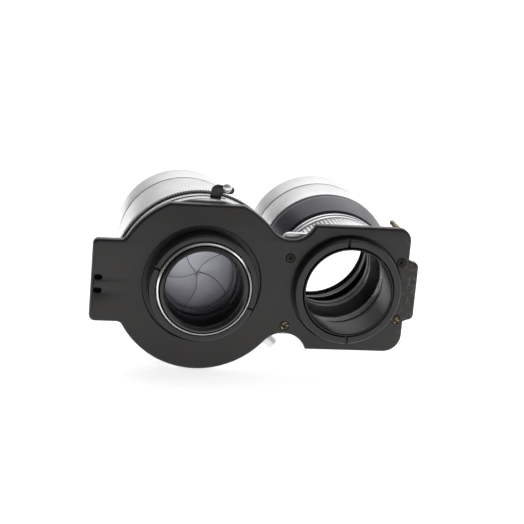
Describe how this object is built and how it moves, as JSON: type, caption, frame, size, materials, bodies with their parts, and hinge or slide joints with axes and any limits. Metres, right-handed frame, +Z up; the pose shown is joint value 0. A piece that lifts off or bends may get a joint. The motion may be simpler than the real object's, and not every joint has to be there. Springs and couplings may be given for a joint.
{
  "type": "twin-lens camera lens unit",
  "caption": "Taking lens with leaf shutter and matching viewing lens, side by side on one black lens board that latches to a twin-lens camera.",
  "frame": {"origin": "on the lens board's back face, midway between the two lens axes", "axes": "+X along the board from the taking lens to the viewing lens, +Y from the board's back face towards the front of the lenses, +Z up as it lies on its side"},
  "size_m": [0.112, 0.0794, 0.0643],
  "materials": {
    "board_black": "satin black paint, worn at the edges",
    "ring_black": "black anodised, lightly turned",
    "band_black": "satin black band",
    "blade_black": "blued thin steel",
    "blade_steel": "thin rolled steel",
    "satin_silver": "satin silver, finely turned",
    "bright_metal": "bright plated metal",
    "chrome_tip": "polished chrome",
    "screw_brass": "blackened brass, worn bright",
    "lens_glass": "coated optical glass"
  },
  "bodies": {
    "lens_unit": {"lens_board": "board_black", "board_screw_1": "screw_brass", "board_screw_2": "screw_brass", "board_screw_3": "screw_brass", "board_screw_4": "screw_brass", "taking_slotted_ring": "ring_black", "viewing_slotted_ring": "ring_black", "taking_rear_cell": "ring_black", "taking_rear_retainer": "ring_black", "taking_rear_glass": "lens_glass", "shutter_back_plate": "bright_metal", "shutter_case": "bright_metal", "shutter_face": "satin_silver", "shutter_blade_plate": "ring_black", "iris_plate": "ring_black", "release_pivot_screw": "screw_brass", "sync_socket": "bright_metal", "taking_barrel": "satin_silver", "taking_front_ring": "satin_silver", "taking_front_glass": "lens_glass", "taking_name_ring": "ring_black", "taking_inner_cell": "ring_black", "taking_inner_glass": "lens_glass", "viewing_rear_tube": "ring_black", "viewing_mount_plate": "ring_black", "viewing_lower_barrel": "satin_silver", "viewing_lock_ring": "satin_silver", "viewing_bright_ring": "chrome_tip", "viewing_rear_cell": "ring_black", "viewing_rear_glass": "lens_glass", "viewing_rear_retainer": "chrome_tip", "viewing_band": "band_black", "viewing_barrel": "satin_silver", "viewing_front_ring": "satin_silver", "viewing_front_glass": "lens_glass", "viewing_name_ring": "ring_black", "viewing_front_retainer": "chrome_tip", "stop_post": "screw_brass"},
    "speed_ring": {"speed_ring": "ring_black"},
    "aperture_ring": {"aperture_ring": "satin_silver", "iris_ring": "ring_black"},
    "blade_drive_ring": {"blade_drive_ring": "blade_steel"},
    "cocking_lever": {"cocking_lever": "ring_black", "cocking_knob": "chrome_tip"},
    "release_lever": {"release_lever": "ring_black"},
    "sync_lever": {"sync_lever": "chrome_tip"},
    "shutter_blade_1": {"shutter_blade_1": "blade_steel"},
    "iris_blade_1": {"iris_blade_1": "blade_black"},
    "shutter_blade_2": {"shutter_blade_2": "blade_steel"},
    "iris_blade_2": {"iris_blade_2": "blade_black"},
    "shutter_blade_3": {"shutter_blade_3": "blade_steel"},
    "iris_blade_3": {"iris_blade_3": "blade_black"},
    "shutter_blade_4": {"shutter_blade_4": "blade_steel"},
    "iris_blade_4": {"iris_blade_4": "blade_black"},
    "shutter_blade_5": {"shutter_blade_5": "blade_steel"},
    "iris_blade_5": {"iris_blade_5": "blade_black"}
  },
  "joints": [
    {"name": "speed_ring_turn", "type": "hinge", "parent": "lens_unit", "child": "speed_ring", "pos_m": [-0.025, 0.0145, 0], "axis": [0, 1, 0], "range_deg": [0, 120]},
    {"name": "aperture_ring_turn", "type": "hinge", "parent": "lens_unit", "child": "aperture_ring", "pos_m": [-0.025, 0.02, 0], "axis": [0, 1, 0], "range_deg": [0, 60]},
    {"name": "blade_drive_turn", "type": "hinge", "parent": "lens_unit", "child": "blade_drive_ring", "pos_m": [-0.025, 0.0165, 0], "axis": [0, 1, 0], "range_deg": [0, 20]},
    {"name": "cocking_turn", "type": "hinge", "parent": "lens_unit", "child": "cocking_lever", "pos_m": [-0.025, 0.0076, 0], "axis": [0, -1, 0], "range_deg": [0, 35]},
    {"name": "release_turn", "type": "hinge", "parent": "lens_unit", "child": "release_lever", "pos_m": [-0.03362, 0.0076, -0.02133], "axis": [0, -1, 0], "range_deg": [0, 14], "stiffness_Nm_per_rad": 0.02},
    {"name": "sync_turn", "type": "hinge", "parent": "lens_unit", "child": "sync_lever", "pos_m": [-0.01601, 0.0085, -0.02768], "axis": [0.309, 0, -0.9511], "range_deg": [-12, 12]},
    {"name": "shutter_blade_1_turn", "type": "hinge", "parent": "lens_unit", "child": "shutter_blade_1", "pos_m": [-0.01213, 0.0137, 0.01258], "axis": [0, 1, 0], "range_deg": [0, 41.31]},
    {"name": "iris_blade_1_turn", "type": "hinge", "parent": "lens_unit", "child": "iris_blade_1", "pos_m": [-0.01213, 0.0173, 0.01258], "axis": [0, -1, 0], "range_deg": [0, 36]},
    {"name": "shutter_blade_2_turn", "type": "hinge", "parent": "lens_unit", "child": "shutter_blade_2", "pos_m": [-0.03299, 0.0142, 0.01613], "axis": [0, 1, 0], "range_deg": [0, 41.31]},
    {"name": "iris_blade_2_turn", "type": "hinge", "parent": "lens_unit", "child": "iris_blade_2", "pos_m": [-0.03299, 0.0178, 0.01613], "axis": [0, -1, 0], "range_deg": [0, 36]},
    {"name": "shutter_blade_3_turn", "type": "hinge", "parent": "lens_unit", "child": "shutter_blade_3", "pos_m": [-0.04281, 0.0147, -0.00261], "axis": [0, 1, 0], "range_deg": [0, 41.31]},
    {"name": "iris_blade_3_turn", "type": "hinge", "parent": "lens_unit", "child": "iris_blade_3", "pos_m": [-0.04281, 0.0183, -0.00261], "axis": [0, -1, 0], "range_deg": [0, 36]},
    {"name": "shutter_blade_4_turn", "type": "hinge", "parent": "lens_unit", "child": "shutter_blade_4", "pos_m": [-0.02802, 0.0152, -0.01775], "axis": [0, 1, 0], "range_deg": [0, 41.31]},
    {"name": "iris_blade_4_turn", "type": "hinge", "parent": "lens_unit", "child": "iris_blade_4", "pos_m": [-0.02802, 0.0188, -0.01775], "axis": [0, -1, 0], "range_deg": [0, 36]},
    {"name": "shutter_blade_5_turn", "type": "hinge", "parent": "lens_unit", "child": "shutter_blade_5", "pos_m": [-0.00906, 0.0157, -0.00835], "axis": [0, 1, 0], "range_deg": [0, 41.31]},
    {"name": "iris_blade_5_turn", "type": "hinge", "parent": "lens_unit", "child": "iris_blade_5", "pos_m": [-0.00906, 0.0193, -0.00835], "axis": [0, -1, 0], "range_deg": [0, 36]}
  ],
  "couplings": [
    {"joint": "shutter_blade_1_turn", "follows": "blade_drive_turn", "ratio": 2.065},
    {"joint": "iris_blade_1_turn", "follows": "aperture_ring_turn", "ratio": 0.6},
    {"joint": "shutter_blade_2_turn", "follows": "blade_drive_turn", "ratio": 2.065},
    {"joint": "iris_blade_2_turn", "follows": "aperture_ring_turn", "ratio": 0.6},
    {"joint": "shutter_blade_3_turn", "follows": "blade_drive_turn", "ratio": 2.065},
    {"joint": "iris_blade_3_turn", "follows": "aperture_ring_turn", "ratio": 0.6},
    {"joint": "shutter_blade_4_turn", "follows": "blade_drive_turn", "ratio": 2.065},
    {"joint": "iris_blade_4_turn", "follows": "aperture_ring_turn", "ratio": 0.6},
    {"joint": "shutter_blade_5_turn", "follows": "blade_drive_turn", "ratio": 2.065},
    {"joint": "iris_blade_5_turn", "follows": "aperture_ring_turn", "ratio": 0.6}
  ]
}
